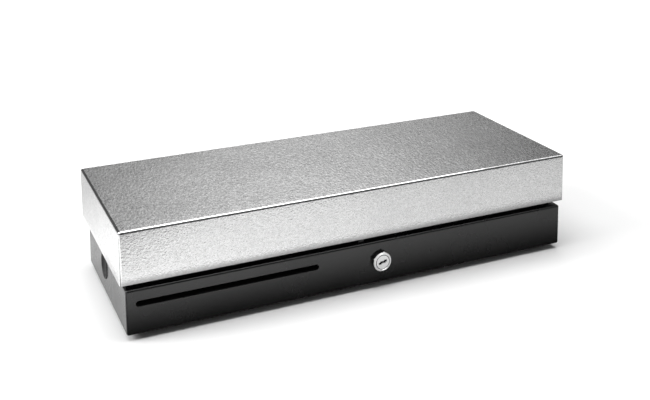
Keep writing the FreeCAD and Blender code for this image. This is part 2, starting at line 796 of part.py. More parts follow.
def lid_shell():
    """Folded stainless box, open below, with its front and side skirts hemmed inwards."""
    sheet = "lid_sheet"
    top_edge = size("overall_height") - 0.1
    outer = rounded_block(
        "lid_outside", both_sides("lid_width / 2"), (FRONT, LID_BACK), (LID_FOOT, "overall_height"),
        sheet, lambda b: b.ZMax > top_edge)
    inner = box("lid_inside", both_sides(f"lid_width / 2 - {sheet}"),
                (f"{FRONT} + {sheet}", f"{LID_BACK} - {sheet}"),
                (f"{LID_FOOT} + {sheet}", f"overall_height - {sheet}"))
    mouth = box("lid_mouth", both_sides(f"lid_width / 2 - {sheet} - lid_hem"),
                (f"{FRONT} + {sheet} + lid_hem", f"{LID_BACK} - {sheet}"),
                (f"{LID_FOOT} - {sheet}", f"{LID_FOOT} + 2 * {sheet}"))
    return piece(cut("lid_shell", outer, inner, mouth), "lid_shell")


def lid_stiffener():
    """Hat channel spot-welded under the middle of the lid."""
    under = "(overall_height - lid_sheet)"
    sheet = "stiffener_sheet"
    length = both_sides("stiffener_length / 2")
    hat = box("stiffener_hat", length, both_sides("stiffener_hat / 2"), (f"{under} - stiffener_depth", under))
    brim = box("stiffener_brim", length, both_sides("stiffener_brim / 2"), (f"{under} - {sheet}", under))
    room = box("stiffener_room", both_sides(f"stiffener_length / 2 + {sheet}"),
               both_sides(f"stiffener_hat / 2 - {sheet}"),
               (f"{under} - stiffener_depth + {sheet}", f"{under} + {sheet}"))
    rail = cut("stiffener_rail", fuse("stiffener_solid", hat, brim), room)
    return piece(rail, "lid_stiffener")


def lid_striker():
    """Tab on the front skirt that reaches down through the ledge to the latch and the lock bolt."""
    body = new_body("lid_striker")
    inside = f"({FRONT} + lid_sheet)"
    tab = f"({FRONT} + striker_y)"
    back = f"({tab} + striker_sheet)"
    top = "striker_weld_z + striker_weld_height"
    profile = new_sketch(body, "striker_profile", "YZ_Plane")
    outline(profile, [
        (inside, top),
        (inside, "striker_weld_z"),
        (tab, "striker_joggle_z"),
        (tab, "striker_foot + nose_round"),
        (f"{tab} + nose_round", "striker_foot"),
        (f"{back} + nose_reach - nose_round", "striker_foot"),
        (f"{back} + nose_reach", "striker_foot + nose_round"),
        (f"{back} + nose_reach", "striker_foot + nose_rise"),
        (back, "striker_foot + nose_rise"),
        (back, "striker_joggle_z + 0.6"),
        (f"{inside} + striker_sheet", "striker_weld_z + 0.6"),
        (f"{inside} + striker_sheet", top),
    ])
    pad(body, profile, "striker_root", midplane=True)
    for side, sign in (("left", "-"), ("right", "")):
        trim = new_sketch(body, f"striker_trim_{side}", "XZ_Plane", f"-({FRONT} - lid_sheet)")
        rectangle(trim, (f"{sign}striker_width / 2", f"{sign}striker_root"),
                  ("striker_foot - 1", "striker_weld_z + 6"))
        pocket(body, trim, "striker_root / 2")
    return piece(body, "lid_striker")


def rest_brackets():
    """Angles welded inside the side skirts that come down on the rubber posts."""
    base = f"({FRAME_TOP} + rim + lid_sheet - 0.2)"
    wall = "(lid_width / 2 - lid_sheet)"
    length = both_sides("bracket_length / 2")
    for side in ("left", "right"):
        upright = mirrored((f"{wall} - lid_sheet", wall), side)
        seat = mirrored((f"{FRAME_X} + bracket_play", wall), side)
        leg = box(f"rest_bracket_leg_{side}", upright, length, (base, f"{base} + bracket_height"))
        foot = box(f"rest_bracket_foot_{side}", seat, length, (base, f"{base} + lid_sheet"))
        piece(fuse(f"rest_bracket_{side}", leg, foot), f"rest_bracket_{side}")


# ---------------------------------------------------------------- latch and solenoid


def swung(along, across):
    """A point on the lever's tail, which is drawn turned up by the latch's swing."""
    return (f"{along} * cos(latch_swing) - ({across}) * sin(latch_swing)",
            f"{along} * sin(latch_swing) + ({across}) * cos(latch_swing)")


def latch_lever():
    """Hook plate, drawn upright as when it holds the striker and then tipped back by its swing."""
    body = new_body("latch_lever")
    hook_under = "(striker_foot + nose_rise + hook_play - latch_z)"
    hook_top = f"{hook_under} + hook_height"
    tip = "(striker_y + striker_sheet + tip_play - latch_y)"
    plate = new_sketch(body, "latch_plate", "YZ_Plane")
    outline(plate, [
        ("-3.4", "-3"),
        ("0", "-latch_boss"),
        swung("3", "-tail_half"),
        swung("tail_reach", "-tail_half"),
        swung("tail_reach", "tail_half"),
        ("2.2", "3.4"),
        ("1.6", f"{hook_under} + 1"),
        ("-0.6", hook_top),
        (f"{tip} + 2.4", hook_top),
        (tip, f"{hook_under} + 1.4"),
        (tip, hook_under),
        ("-4.6", hook_under),
    ])
    pad(body, plate, "latch_sheet", midplane=True)
    holes = new_sketch(body, "latch_holes", "YZ_Plane")
    circle(holes, "0", "0", "latch_pin_radius + running_play")
    circle(holes, f"-{LINK_RISE} * sin(latch_swing)", f"{LINK_RISE} * cos(latch_swing)",
           "link_radius + link_play")
    pocket(body, holes, "2 * latch_sheet", midplane=True)
    body.Placement = Placement(Vector(), Rotation(X_AXIS, -size("latch_swing")))
    bind(body, x="latch_x", y=LATCH_Y, z="latch_z")
    return piece(body, "latch_lever")


def latch_bracket():
    """Two ears on a floor plate that carry the latch lever's pin."""
    outer = "(ear_gap + ear_sheet)"
    plate = box("latch_plate_base", ("latch_x - 11", "latch_x + 8"), (f"{LATCH_Y} - 8", f"{LATCH_Y} + 7"),
                (FLOOR_TOP, f"{FLOOR_TOP} + ear_sheet"))
    ears = []
    for side, low, high in (("left", f"-{outer}", "-ear_gap"), ("right", "+ear_gap", f"+{outer}")):
        ears.append(box(f"latch_ear_{side}", (f"latch_x {low}", f"latch_x {high}"),
                        (f"{LATCH_Y} - latch_boss", f"{LATCH_Y} + latch_boss"),
                        (FLOOR_TOP, "latch_z + latch_boss")))
    room = box("latch_switch_room", ("latch_x - ear_gap", "latch_x + ear_gap"),
               (f"{LATCH_Y} - latch_boss", f"{LATCH_Y} + 2 * latch_boss"),
               (f"{FLOOR_TOP} - case_sheet", f"{FLOOR_TOP} + 2 * ear_sheet"))
    hole = rod("latch_bracket_hole", "x", ("latch_x - 12", LATCH_Y, "latch_z"), "latch_pin_radius", "24")
    piece(cut("latch_bracket", fuse("latch_bracket_solid", plate, *ears), room, hole), "latch_bracket")
    half_pin = f"({outer} + 0.8)"
    pin = rod("latch_pin", "x", (f"latch_x - {half_pin}", LATCH_Y, "latch_z"), "latch_pin_radius",
              f"2 * {half_pin}")
    piece(pin, "latch_pin")


def solenoid():
    """Open frame, coil, plunger with a clevis and cross pin, and the spring that pushes the plunger out."""
    sheet = "solenoid_sheet"
    front = f"({FRONT} + solenoid_y)"
    back = f"({front} + solenoid_length)"
    top = "(solenoid_z + coil_radius + 1.5)"
    slide = "plunger_radius + running_play"
    block = box("solenoid_block", ("latch_x - solenoid_width / 2", "latch_x + solenoid_width / 2"),
                (front, back), (FLOOR_TOP, top))
    room = box("solenoid_room", ("latch_x - solenoid_width", "latch_x + solenoid_width"),
               (f"{front} + {sheet}", f"{back} - {sheet}"), (f"{FLOOR_TOP} + {sheet}", f"{top} + {sheet}"))
    bore = rod("solenoid_bore", "y", ("latch_x", f"{front} - {sheet}", "solenoid_z"), slide, f"4 * {sheet}")
    piece(cut("solenoid_frame", block, room, bore), "solenoid_frame")

    inner_length = f"solenoid_length - 2 * {sheet}"
    winding = rod("solenoid_winding", "y", ("latch_x", f"{front} + {sheet}", "solenoid_z"), "coil_radius",
                  inner_length)
    core = rod("solenoid_core", "y", ("latch_x", f"{front} + {sheet} / 2", "solenoid_z"), slide, inner_length)
    piece(cut("solenoid_coil", winding, core), "solenoid_coil")

    shaft = rod("plunger_shaft", "y", ("latch_x", f"{LATCH_Y} - plunger_tip", "solenoid_z"), "plunger_radius",
                "plunger_length")
    collar = rod("plunger_collar", "y", ("latch_x", f"{LATCH_Y} + collar_y", "solenoid_z"),
                 "plunger_radius + collar_rim", "collar_width")
    cheek = "(latch_sheet / 2 + fork_play)"
    fork = box("plunger_fork", (f"latch_x - {cheek}", f"latch_x + {cheek}"),
               (f"{LATCH_Y} - 2 * plunger_tip", f"{LATCH_Y} + fork_depth"),
               ("solenoid_z - 6", "solenoid_z + 6"))
    cross = rod("plunger_cross", "x", ("latch_x - 6", LATCH_Y, "solenoid_z"), "link_radius", "12")
    piece(cut("solenoid_plunger", fuse("plunger_solid", shaft, collar), fork, cross), "solenoid_plunger")
    half_pin = "(plunger_radius - 0.2)"
    pin = rod("link_pin", "x", (f"latch_x - {half_pin}", LATCH_Y, "solenoid_z"), "link_radius",
              f"2 * {half_pin}")
    piece(pin, "link_pin")


def plunger_spring():
    """Compression spring round the plunger, between its collar and the solenoid's frame."""
    wire = PLUNGER_SPRING_WIRE
    coil = size("plunger_radius") + wire + PLUNGER_SPRING_PLAY
    collar = front_y() + size("latch_y") + size("collar_y") + size("collar_width")
    start = collar + wire + CLEAR
    end = front_y() + size("solenoid_y") - wire - CLEAR
    first = Vector(size("latch_x") - coil, start, size("solenoid_z"))
    edges = coil_turns(first, Y_AXIS, X_AXIS * (2 * coil), Z_AXIS, (end - start) / PLUNGER_SPRING_TURNS,
                       2 * PLUNGER_SPRING_TURNS)
    spring = doc.addObject("Part::Feature", "plunger_spring")
    spring.Shape = swept_wire(edges, wire)
    piece(spring, "plunger_spring")


def latch_switch():
    """Small switch whose button follows the latch lever's tail."""
    button_at = f"({LATCH_Y} + button_y)"
    top = "(latch_z - switch_drop)"
    back = f"{LATCH_Y} + switch_y + switch_length"
    case = box("switch_case", ("latch_x - switch_half", "latch_x + switch_half"),
               (f"{LATCH_Y} + switch_y", back), (FLOOR_TOP, top))
    hole = rod("switch_hole", "z", ("latch_x", button_at, f"{top} - button_inside - 0.1"),
               "button_radius + running_play", "button_length")
    piece(cut("latch_switch", case, hole), "latch_switch")
    button = rod("switch_button", "z", ("latch_x", button_at, f"{top} - button_inside"), "button_radius",
                 "button_length")
    piece(button, "switch_button")


# ---------------------------------------------------------------- key lock


CRANK_Y = f"({FRONT} + lock_length + 0.3)"
BOLT_Y = f"({CRANK_Y} + crank_sheet + 0.5)"
BOLT_BACK = f"({BOLT_Y} + bolt_sheet)"
BOLT_TOP = "(striker_foot + nose_rise + 3.4)"
PEG_REACH = "(crank * cos(45))"


def lock_housing():
    """Flanged barrel with two nibs that mark the key's end positions, and the nut behind the front wall."""
    housing = new_body("housing_turning")
    section = new_sketch(housing, "lock_section", "XZ_Plane")
    face_seat = "plug_face + plug_groove"
    shank_seat = "plug_shank + running_play"
    outline(section, [
        (shank_seat, "-lock_length"),
        ("lock_body", "-lock_length"),
        ("lock_body", "0"),
        ("lock_head - 0.6", "0"),
        ("lock_head", "0.6"),
        ("lock_head", "lock_stand - 1.2"),
        ("lock_head - 0.9", "lock_stand - 0.1"),
        ("plug_face + 2 * plug_groove", "lock_stand"),
        (face_seat, "lock_stand - 0.7"),
        (face_seat, "lock_stand - plug_seat - 0.4"),
        (shank_seat, "lock_stand - plug_seat - 0.4"),
    ])
    revolve(housing, section)
    housing.Placement = Placement(Vector(), Rotation(X_AXIS, 90))
    bind(housing, x="lock_x", y=FRONT, z="lock_z")
    nibs = []
    for i, angle in enumerate((80, 155)):
        foot = (f"lock_x + (lock_head - nib_inset) * cos({angle})", f"{FRONT} - lock_stand + nib_inset",
                f"lock_z + (lock_head - nib_inset) * sin({angle})")
        nibs.append(rod(f"lock_nib_{i}", "y", foot, "nib_radius", "lock_stand / 2"))
    piece(fuse("lock_housing", housing, *nibs), "lock_housing")

    nut = new_body("lock_nut")
    seat = f"-({FRONT} + case_sheet)"
    flats = new_sketch(nut, "nut_plan", "XZ_Plane", seat)
    corner = "nut_half / cos(30)"
    corners = []
    for i in range(6):
        corners.append((f"lock_x + {corner} * cos({60 * i})", f"lock_z + {corner} * sin({60 * i})"))
    outline(flats, corners)
    pad(nut, flats, "nut_height", reverse=True)
    bore = new_sketch(nut, "nut_bore", "XZ_Plane", seat)
    circle(bore, "lock_x", "lock_z", "lock_body")
    pocket(nut, bore, "nut_height + 1")
    piece(nut, "lock_nut")


def lock_plug():
    """Turning plug with a stepped keyway, and a square tang that drives the crank."""
    face = rod("plug_head", "y", ("lock_x", f"{FRONT} - lock_stand + 0.5", "lock_z"), "plug_face",
               "plug_seat - 0.2")
    shank = rod("plug_stem", "y", ("lock_x", f"{FRONT} - lock_stand + plug_seat", "lock_z"), "plug_shank",
                "lock_length + lock_stand - plug_seat")
    tang = box("plug_tang", ("lock_x - tang_half", "lock_x + tang_half"),
               (f"{FRONT} + lock_length - 1", f"{FRONT} + lock_length + 2.1"),
               ("lock_z - tang_half", "lock_z + tang_half"))
    deep = (f"{FRONT} - lock_stand - 1", f"{FRONT} + key_depth")
    bar = box("key_bar", ("lock_x - key_half", "lock_x + key_half"), deep,
              ("lock_z - key_height / 2", "lock_z + key_height / 2"))
    left = box("key_left", ("lock_x - key_wing", "lock_x - key_step"), deep,
               ("lock_z - key_height", "lock_z"))
    right = box("key_right", ("lock_x + key_step", "lock_x + key_wing"), deep,
                ("lock_z", "lock_z + key_height"))
    piece(cut("lock_plug", fuse("plug_solid", face, shank, tang), bar, left, right), "lock_plug")


def lock_crank():
    """Disc on the plug's tang with a peg that works in the bolt's slot."""
    disc = rod("crank_plate_disc", "y", ("lock_x", CRANK_Y, "lock_z"), "crank_disc", "crank_sheet")
    square = box("crank_square", ("lock_x - tang_half", "lock_x + tang_half"),
                 (f"{CRANK_Y} - 1", f"{CRANK_Y} + crank_sheet + 1"),
                 ("lock_z - tang_half", "lock_z + tang_half"))
    start = (f"lock_x + {PEG_REACH}", f"{CRANK_Y} + crank_sheet - 0.1", f"lock_z + {PEG_REACH}")
    peg = rod("crank_peg", "y", start, "crank_pin", "bolt_sheet + 1")
    piece(fuse("lock_crank", cut("crank_plate", disc, square), peg), "lock_crank")


def lock_bolt():
    """Sliding plate whose arm reaches forward over the striker's nose, and the rail that it slides in."""
    tip_z = (f"{BOLT_TOP} - 3", BOLT_TOP)
    striker_back = f"({FRONT} + striker_y + striker_sheet)"
    tip_y = (f"{striker_back} + tip_play", f"{striker_back} + tip_play + 2.1")
    plate_y = (BOLT_Y, BOLT_BACK)
    tip = box("bolt_tip", ("bolt_tip_x", "bolt_reach"), tip_y, tip_z)
    arm = box("bolt_arm", ("bolt_arm_x", "bolt_reach"), (tip_y[0], BOLT_BACK), tip_z)
    plate = box("bolt_plate", ("bolt_reach - 0.2", "lock_x + bolt_reach"), plate_y, ("lock_z - 7", BOLT_TOP))
    tongue = box("bolt_tongue", ("lock_x - 6", "lock_x + 6"), plate_y, ("bolt_foot_z", "lock_z - 6"))
    half = "(crank_pin + 0.2)"
    slot = box("bolt_slot", (f"lock_x + {PEG_REACH} - {half}", f"lock_x + {PEG_REACH} + {half}"),
               (CRANK_Y, f"{CRANK_Y} + 6"), ("lock_z", "lock_z + crank + crank_pin + 0.4"))
    piece(cut("lock_bolt", fuse("bolt_solid", tip, arm, plate, tongue), slot), "lock_bolt")

    rail = box("guide_rail", ("lock_x - 11", "lock_x + 8"),
               (f"{BOLT_Y} - bolt_sheet", f"{BOLT_BACK} + bolt_sheet"), (FLOOR_TOP, "guide_top"))
    groove = box("guide_groove", ("lock_x - 12", "lock_x + 9"),
                 (f"{BOLT_Y} - bolt_play", f"{BOLT_BACK} + bolt_play"),
                 ("bolt_foot_z - 2 * bolt_play", "guide_top + 1"))
    piece(cut("bolt_guide", rail, groove), "bolt_guide")


# ---------------------------------------------------------------- electrical connection


def interface_jack():
    """Six-way socket in the back wall, for the cable from the till's printer."""
    shell = box("jack_shell", jack_span("x", "jack_half_width"), (f"{CASE_BACK} - jack_depth", CASE_BACK),
                jack_span("z", "jack_half_height"))
    deep = (f"{CASE_BACK} - jack_mouth_depth", f"{CASE_BACK} + 1")
    mouth = box("jack_mouth", jack_span("x", "jack_mouth_half"), deep,
                ("jack_z - jack_mouth_low", "jack_z + jack_mouth_high"))
    catch = box("jack_catch", jack_span("x", "jack_catch_half"), deep,
                ("jack_z - jack_mouth_low - jack_catch_half", "jack_z - jack_mouth_low + 0.2"))
    piece(cut("interface_jack", shell, mouth, catch), "interface_jack")


def wiring_loom():
    """Two-core lead from the socket to the solenoid's coil."""
    jack_back = front_y() + size("case_depth") - size("jack_depth")
    coil_end = front_y() + size("solenoid_y") + size("solenoid_length")
    jack_x = size("jack_x")
    jack_z = size("jack_z")
    latch_x = size("latch_x")
    points = [
        Vector(jack_x, jack_back - 0.2, jack_z),
        Vector(jack_x, jack_back - 7, jack_z),
        Vector(18, 30, 12),
        Vector(8, 8, 11),
        Vector(latch_x, coil_end + 10, 17),
        Vector(latch_x, coil_end + 0.5, 19),
    ]
    lead = doc.addObject("Part::Feature", "wiring_loom")
    lead.Shape = swept_wire(smooth_curve(points), LOOM_RADIUS)
    piece(lead, "wiring_loom")


case_body()
inner_frame()
side_plugs()
feet()
media_slot_guide()
rest_buffers()
insert_tray()
coin_cups()
for hinge_side, hinge_sign in (("left", -1), ("right", 1)):
    hinge(hinge_side, hinge_sign)
    torsion_spring(hinge_side, hinge_sign)
hinge_screws()
lid_shell()
lid_stiffener()
lid_striker()
rest_brackets()
latch_lever()
latch_bracket()
solenoid()
plunger_spring()
latch_switch()
lock_housing()
lock_plug()
lock_crank()
lock_bolt()
interface_jack()
wiring_loom()
doc.recompute()

for item in doc.Objects:
    if "Invalid" in item.State or "Error" in item.State:
        raise RuntimeError(f"{item.Name} failed: {item.State}")
for item in pieces:
    if item.Shape.isNull() or not item.Shape.isValid() or item.Shape.Volume <= 0:
        raise RuntimeError(f"{item.Label} has no valid solid")

os.makedirs("parts", exist_ok=True)
for item in pieces:
    item.Shape.exportStep(f"parts/{item.Label}.step")
print(f"{len(pieces)} pieces")
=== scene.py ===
"""Looks for the flip-top cash drawer: materials, a finely built lid, copies of the springs, and the studio.
"""

import json
import math

import bmesh
import bpy
from mathutils import Matrix, Vector, noise

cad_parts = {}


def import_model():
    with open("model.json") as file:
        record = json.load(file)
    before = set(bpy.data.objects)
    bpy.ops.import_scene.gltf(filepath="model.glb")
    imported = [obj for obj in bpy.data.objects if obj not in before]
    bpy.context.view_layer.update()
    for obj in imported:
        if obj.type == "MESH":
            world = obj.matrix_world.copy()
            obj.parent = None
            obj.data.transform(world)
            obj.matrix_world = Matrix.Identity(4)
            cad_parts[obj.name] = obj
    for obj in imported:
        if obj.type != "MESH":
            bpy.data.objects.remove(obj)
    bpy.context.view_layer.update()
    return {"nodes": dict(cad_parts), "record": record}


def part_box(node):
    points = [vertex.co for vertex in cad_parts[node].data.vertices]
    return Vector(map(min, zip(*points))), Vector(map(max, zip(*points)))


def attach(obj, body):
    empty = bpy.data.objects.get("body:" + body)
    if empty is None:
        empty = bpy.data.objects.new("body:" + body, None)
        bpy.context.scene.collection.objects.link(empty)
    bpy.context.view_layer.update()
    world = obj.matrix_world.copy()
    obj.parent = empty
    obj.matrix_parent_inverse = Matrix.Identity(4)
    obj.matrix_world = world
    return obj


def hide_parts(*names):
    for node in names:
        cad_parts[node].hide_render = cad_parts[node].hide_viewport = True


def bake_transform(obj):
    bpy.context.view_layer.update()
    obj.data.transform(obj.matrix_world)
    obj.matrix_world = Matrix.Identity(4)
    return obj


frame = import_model()
nodes = frame["nodes"]
scene = bpy.context.scene

MM = 0.001
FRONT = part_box("lid_shell")[0].y
CARD_LEVEL = 1.22
CEILING_LEVEL = 1.0
WALL_LEVEL = 0.6
HORIZON_LEVEL = 0.1

# ---------------------------------------------------------------- node helpers


class Shader:
    """A material's node tree, with short calls for the nodes that the finishes use."""

    def __init__(self, name):
        self.material = bpy.data.materials.new(name)
        self.material.use_nodes = True
        self.tree = self.material.node_tree
        self.surface = self.tree.nodes["Principled BSDF"]
        self.place = self.add("ShaderNodeTexCoord").outputs["Object"]

    def add(self, kind, inputs=None, **settings):
        node = self.tree.nodes.new(kind)
        for name, value in settings.items():
            setattr(node, name, value)
        for name, value in (inputs or {}).items():
            self.feed(value, node.inputs[name])
        return node

    def feed(self, value, socket):
        """Links an output to the socket, or sets the socket to a plain value."""
        if isinstance(value, bpy.types.NodeSocket):
            self.tree.links.new(value, socket)
        else:
            socket.default_value = value

    def set(self, **inputs):
        for name, value in inputs.items():
            self.feed(value, self.surface.inputs[name.replace("_", " ")])

    def stretched(self, scale):
        """The object's coordinates scaled by a different amount along each axis."""
        return self.add("ShaderNodeMapping", {"Vector": self.place, "Scale": scale}).outputs["Vector"]

    def noise(self, scale, detail=3.0, roughness=0.5, vector=None):
        inputs = {"Vector": vector or self.place, "Scale": scale, "Detail": detail, "Roughness": roughness}
        return self.add("ShaderNodeTexNoise", inputs).outputs["Fac"]

    def cells(self, scale, feature="SMOOTH_F1", vector=None):
        inputs = {"Vector": vector or self.place, "Scale": scale}
        return self.add("ShaderNodeTexVoronoi", inputs, feature=feature).outputs["Distance"]

    def remap(self, value, low, high, new_low, new_high):
        inputs = {"Value": value, "From Min": low, "From Max": high, "To Min": new_low, "To Max": new_high}
        return self.add("ShaderNodeMapRange", inputs).outputs["Result"]

    def maths(self, operation, first, second=0.0):
        node = self.add("ShaderNodeMath", operation=operation)
        self.feed(first, node.inputs[0])
        self.feed(second, node.inputs[1])
        return node.outputs[0]

    def mix(self, amount, first, second):
        """A colour between two colours."""
        node = self.add("ShaderNodeMix", data_type="RGBA")
        self.feed(amount, node.inputs["Factor"])
        self.feed(first, node.inputs["A"])
        self.feed(second, node.inputs["B"])
        return node.outputs["Result"]

    def bump(self, height, depth, strength=1.0, under=None):
        inputs = {"Height": height, "Distance": depth, "Strength": strength}
        if under:
            inputs["Normal"] = under
        return self.add("ShaderNodeBump", inputs).outputs["Normal"]

    def facing(self):
        """How far the surface faces along each of the three axes, either way, from 0 to 1."""
        flat = self.add("ShaderNodeNewGeometry").outputs["Normal"]
        size = self.add("ShaderNodeVectorMath", {0: flat}, operation="ABSOLUTE").outputs["Vector"]
        return self.add("ShaderNodeSeparateXYZ", {"Vector": size}).outputs

    def folded(self):
        """1 on rounded folds, where the surface faces none of the three axes, and 0 on the flat sides."""
        parts = self.facing()
        most = self.maths("MAXIMUM", self.maths("MAXIMUM", parts["X"], parts["Y"]), parts["Z"])
        return self.remap(most, 0.9995, 0.985, 0.0, 1.0)

    def crevice(self, reach):
        """1 in the open, falling towards 0 in grooves and holes within the reach."""
        node = self.add("ShaderNodeAmbientOcclusion", {"Distance": reach}, samples=6)
        return self.remap(node.outputs["AO"], 0.25, 0.85, 0.0, 1.0)

    def edge(self, radius):
        """0 on flat surfaces, rising towards 1 within the radius of a sharp edge."""
        rounded = self.add("ShaderNodeBevel", {"Radius": radius}, samples=4).outputs["Normal"]
        flat = self.add("ShaderNodeNewGeometry").outputs["Normal"]
        product = self.add("ShaderNodeVectorMath", {0: rounded, 1: flat}, operation="DOT_PRODUCT")
        return self.remap(product.outputs["Value"], 1.0, 0.8, 0.0, 1.0)


def grey(value, alpha=1.0):
    return (value, value, value, alpha)


# ---------------------------------------------------------------- materials


def grained_steel():
    """Stainless sheet rolled with a fine leather grain, with wiped smears and smooth, polished folds."""
    s = Shader("grained_stainless")
    place = s.stretched((0.9, 0.48, 1.15))
    wander = s.add("ShaderNodeTexNoise", {"Vector": place, "Scale": 520.0, "Detail": 2.0}).outputs["Color"]
    shift = s.add("ShaderNodeVectorMath", {0: wander, 1: (0.0016,) * 3}, operation="MULTIPLY").outputs[0]
    warped = s.add("ShaderNodeVectorMath", {0: place, 1: shift}, operation="ADD").outputs[0]
    grain = s.cells(620.0, vector=warped)
    fine = s.noise(1300.0, 3.0, 0.6, place)
    mottle = s.noise(330.0, 2.0, 0.6, place)
    fleck = s.noise(640.0, 2.0, 0.7, place)
    smear = s.noise(14.0, 4.0, 0.65)
    sheet = s.maths("SUBTRACT", 1.0, s.folded())
    pits = s.maths("MULTIPLY", s.remap(grain, 0.05, 0.55, 0.6, 1.0), s.remap(mottle, 0.3, 0.7, 0.8, 1.0))
    pits = s.maths("MULTIPLY", pits, s.remap(fleck, 0.38, 0.6, 0.35, 1.0))
    # Painted light: the top and the skirts get different grey ranges, with the skirts' palest grain painted
    # darker and their pits lighter than the top's, to stand for how each side is lit.
    level = s.facing()["Z"]
    pit_grey_painted_per_side, peak_grey_painted_per_side = s.mix(level, grey(0.63), grey(0.46)), s.mix(level, grey(0.87), grey(1.0))
    s.set(Base_Color=s.mix(pits, pit_grey_painted_per_side, peak_grey_painted_per_side), Metallic=1.0)
    rough = s.maths("ADD", s.remap(smear, 0.3, 0.7, 0.2, 0.25), s.remap(fine, 0.3, 0.7, -0.04, 0.04))
    s.set(Roughness=s.maths("ADD", 0.04, s.maths("MULTIPLY", rough, sheet)))
    broad = s.bump(mottle, 0.0002, s.maths("MULTIPLY", sheet, 0.3))
    coarse = s.bump(grain, 0.0002, s.maths("MULTIPLY", sheet, 0.9), broad)
    s.set(Normal=s.bump(fine, 0.00009, s.maths("MULTIPLY", sheet, 0.9), coarse))
    return s.material


def powder_coat(name, colour, roughness, ior):
    """Black powder coat: fine orange peel, faint cloudiness, slightly polished edges, and a painted
    highlight that lightens the colour along sharp edges.
    """
    s = Shader(name)
    peel = s.noise(1500.0, 2.0, 0.45)
    cloud = s.noise(22.0, 3.0, 0.6)
    edge_polish_and_highlight = s.edge(0.0006)
    base = s.mix(s.remap(cloud, 0.35, 0.65, 0.0, 1.0), grey(colour * 0.85), grey(colour * 1.15))
    # Painted highlight: sharp edges are lightened towards grey to stand for the light that rounded edges
    # catch.
    s.set(Base_Color=s.mix(s.maths("MULTIPLY", edge_polish_and_highlight, 0.35), base, grey(0.12)), IOR=ior)
    s.set(Roughness=s.maths("SUBTRACT", s.remap(cloud, 0.3, 0.7, roughness - 0.03, roughness + 0.04),
                            s.maths("MULTIPLY", edge_polish_and_highlight, 0.08)))
    s.set(Normal=s.bump(peel, 0.00004, 0.45))
    return s.material


def chrome():
    """Bright nickel-chrome faces, finely scratched; the barrel's sides are painted near-black as shade, and
    painted shade darkens the grooves and keyhole.
    """
    s = Shader("lock_chrome")
    scratch = s.noise(300.0, 3.0, 0.6, s.stretched((9.0, 1.0, 0.6)))
    clean = s.mix(s.noise(400.0), grey(0.94), grey(1.0))
    depth = s.add("ShaderNodeSeparateXYZ", {"Vector": s.place}).outputs["Y"]
    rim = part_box("lock_housing")[0].y
    # Painted shade: away from the front face and its rim, the barrel's sides are painted near-black to
    # stand for the shadow and dark reflection on them.
    plated = s.maths("MAXIMUM", s.remap(s.facing()["Y"], 0.1, 0.35, 0.0, 1.0),
                     s.remap(depth, rim + 1.4 * MM, rim + 1.7 * MM, 1.0, 0.0))
    face = s.mix(plated, grey(0.03), clean)
    # Painted shade: ambient occlusion darkens the grooves and the keyhole to near-black.
    s.set(Base_Color=s.mix(s.crevice(0.003), grey(0.008), face), Metallic=0.3, IOR=1.8)
    s.set(Roughness=s.remap(scratch, 0.3, 0.7, 0.14, 0.28))
    s.set(Normal=s.bump(scratch, 0.00001, 0.3))
    return s.material


def moulded_plastic(name, colour, roughness=0.5, grain=1800.0):
    """Moulded plastic with a spark-eroded grain and a faint cloudy variation in tone."""
    s = Shader(name)
    dots = s.noise(grain, 2.0, 0.5)
    cloud = s.noise(30.0, 2.0)
    light = (colour[0] * 1.2 + 0.005, colour[1] * 1.2 + 0.005, colour[2] * 1.2 + 0.005, 1.0)
    s.set(Base_Color=s.mix(s.remap(cloud, 0.3, 0.7, 0.0, 1.0), (*colour, 1.0), light))
    s.set(Roughness=s.remap(dots, 0.3, 0.7, roughness - 0.05, roughness + 0.08))
    s.set(Normal=s.bump(dots, 0.00003, 0.35))
    return s.material


def rubber():
    """Dull black rubber with a powdery bloom."""
    s = Shader("black_rubber")
    bloom = s.noise(250.0, 5.0, 0.65)
    s.set(Base_Color=s.mix(s.remap(bloom, 0.4, 0.75, 0.0, 1.0), grey(0.018), grey(0.045)))
    s.set(Roughness=s.remap(bloom, 0.3, 0.7, 0.62, 0.85))
    s.set(Normal=s.bump(s.noise(2200.0, 3.0), 0.00004, 0.4))
    return s.material


def plated_steel(name, colour, roughness):
    """Zinc-plated or ground steel, streaked along one axis."""
    s = Shader(name)
    streak = s.noise(180.0, 4.0, 0.65, s.stretched((0.5, 6.0, 6.0)))
    s.set(Base_Color=s.mix(streak, (*[c * 0.85 for c in colour], 1.0), (*colour, 1.0)), Metallic=1.0)
    s.set(Roughness=s.remap(streak, 0.3, 0.7, roughness - 0.08, roughness + 0.1))
    s.set(Normal=s.bump(s.noise(2500.0, 2.0), 0.00002, 0.25))
    return s.material


def coil_tape():
    """Amber insulating tape wound round the solenoid's coil."""
    s = Shader("coil_tape")
    turns = s.add("ShaderNodeTexWave", {"Vector": s.place, "Scale": 90.0, "Distortion": 0.6},
                  bands_direction="Y").outputs["Fac"]
    s.set(Base_Color=s.mix(turns, (0.30, 0.13, 0.02, 1.0), (0.55, 0.30, 0.06, 1.0)), Roughness=0.3)
    s.set(Normal=s.bump(turns, 0.00008, 0.6))
    return s.material


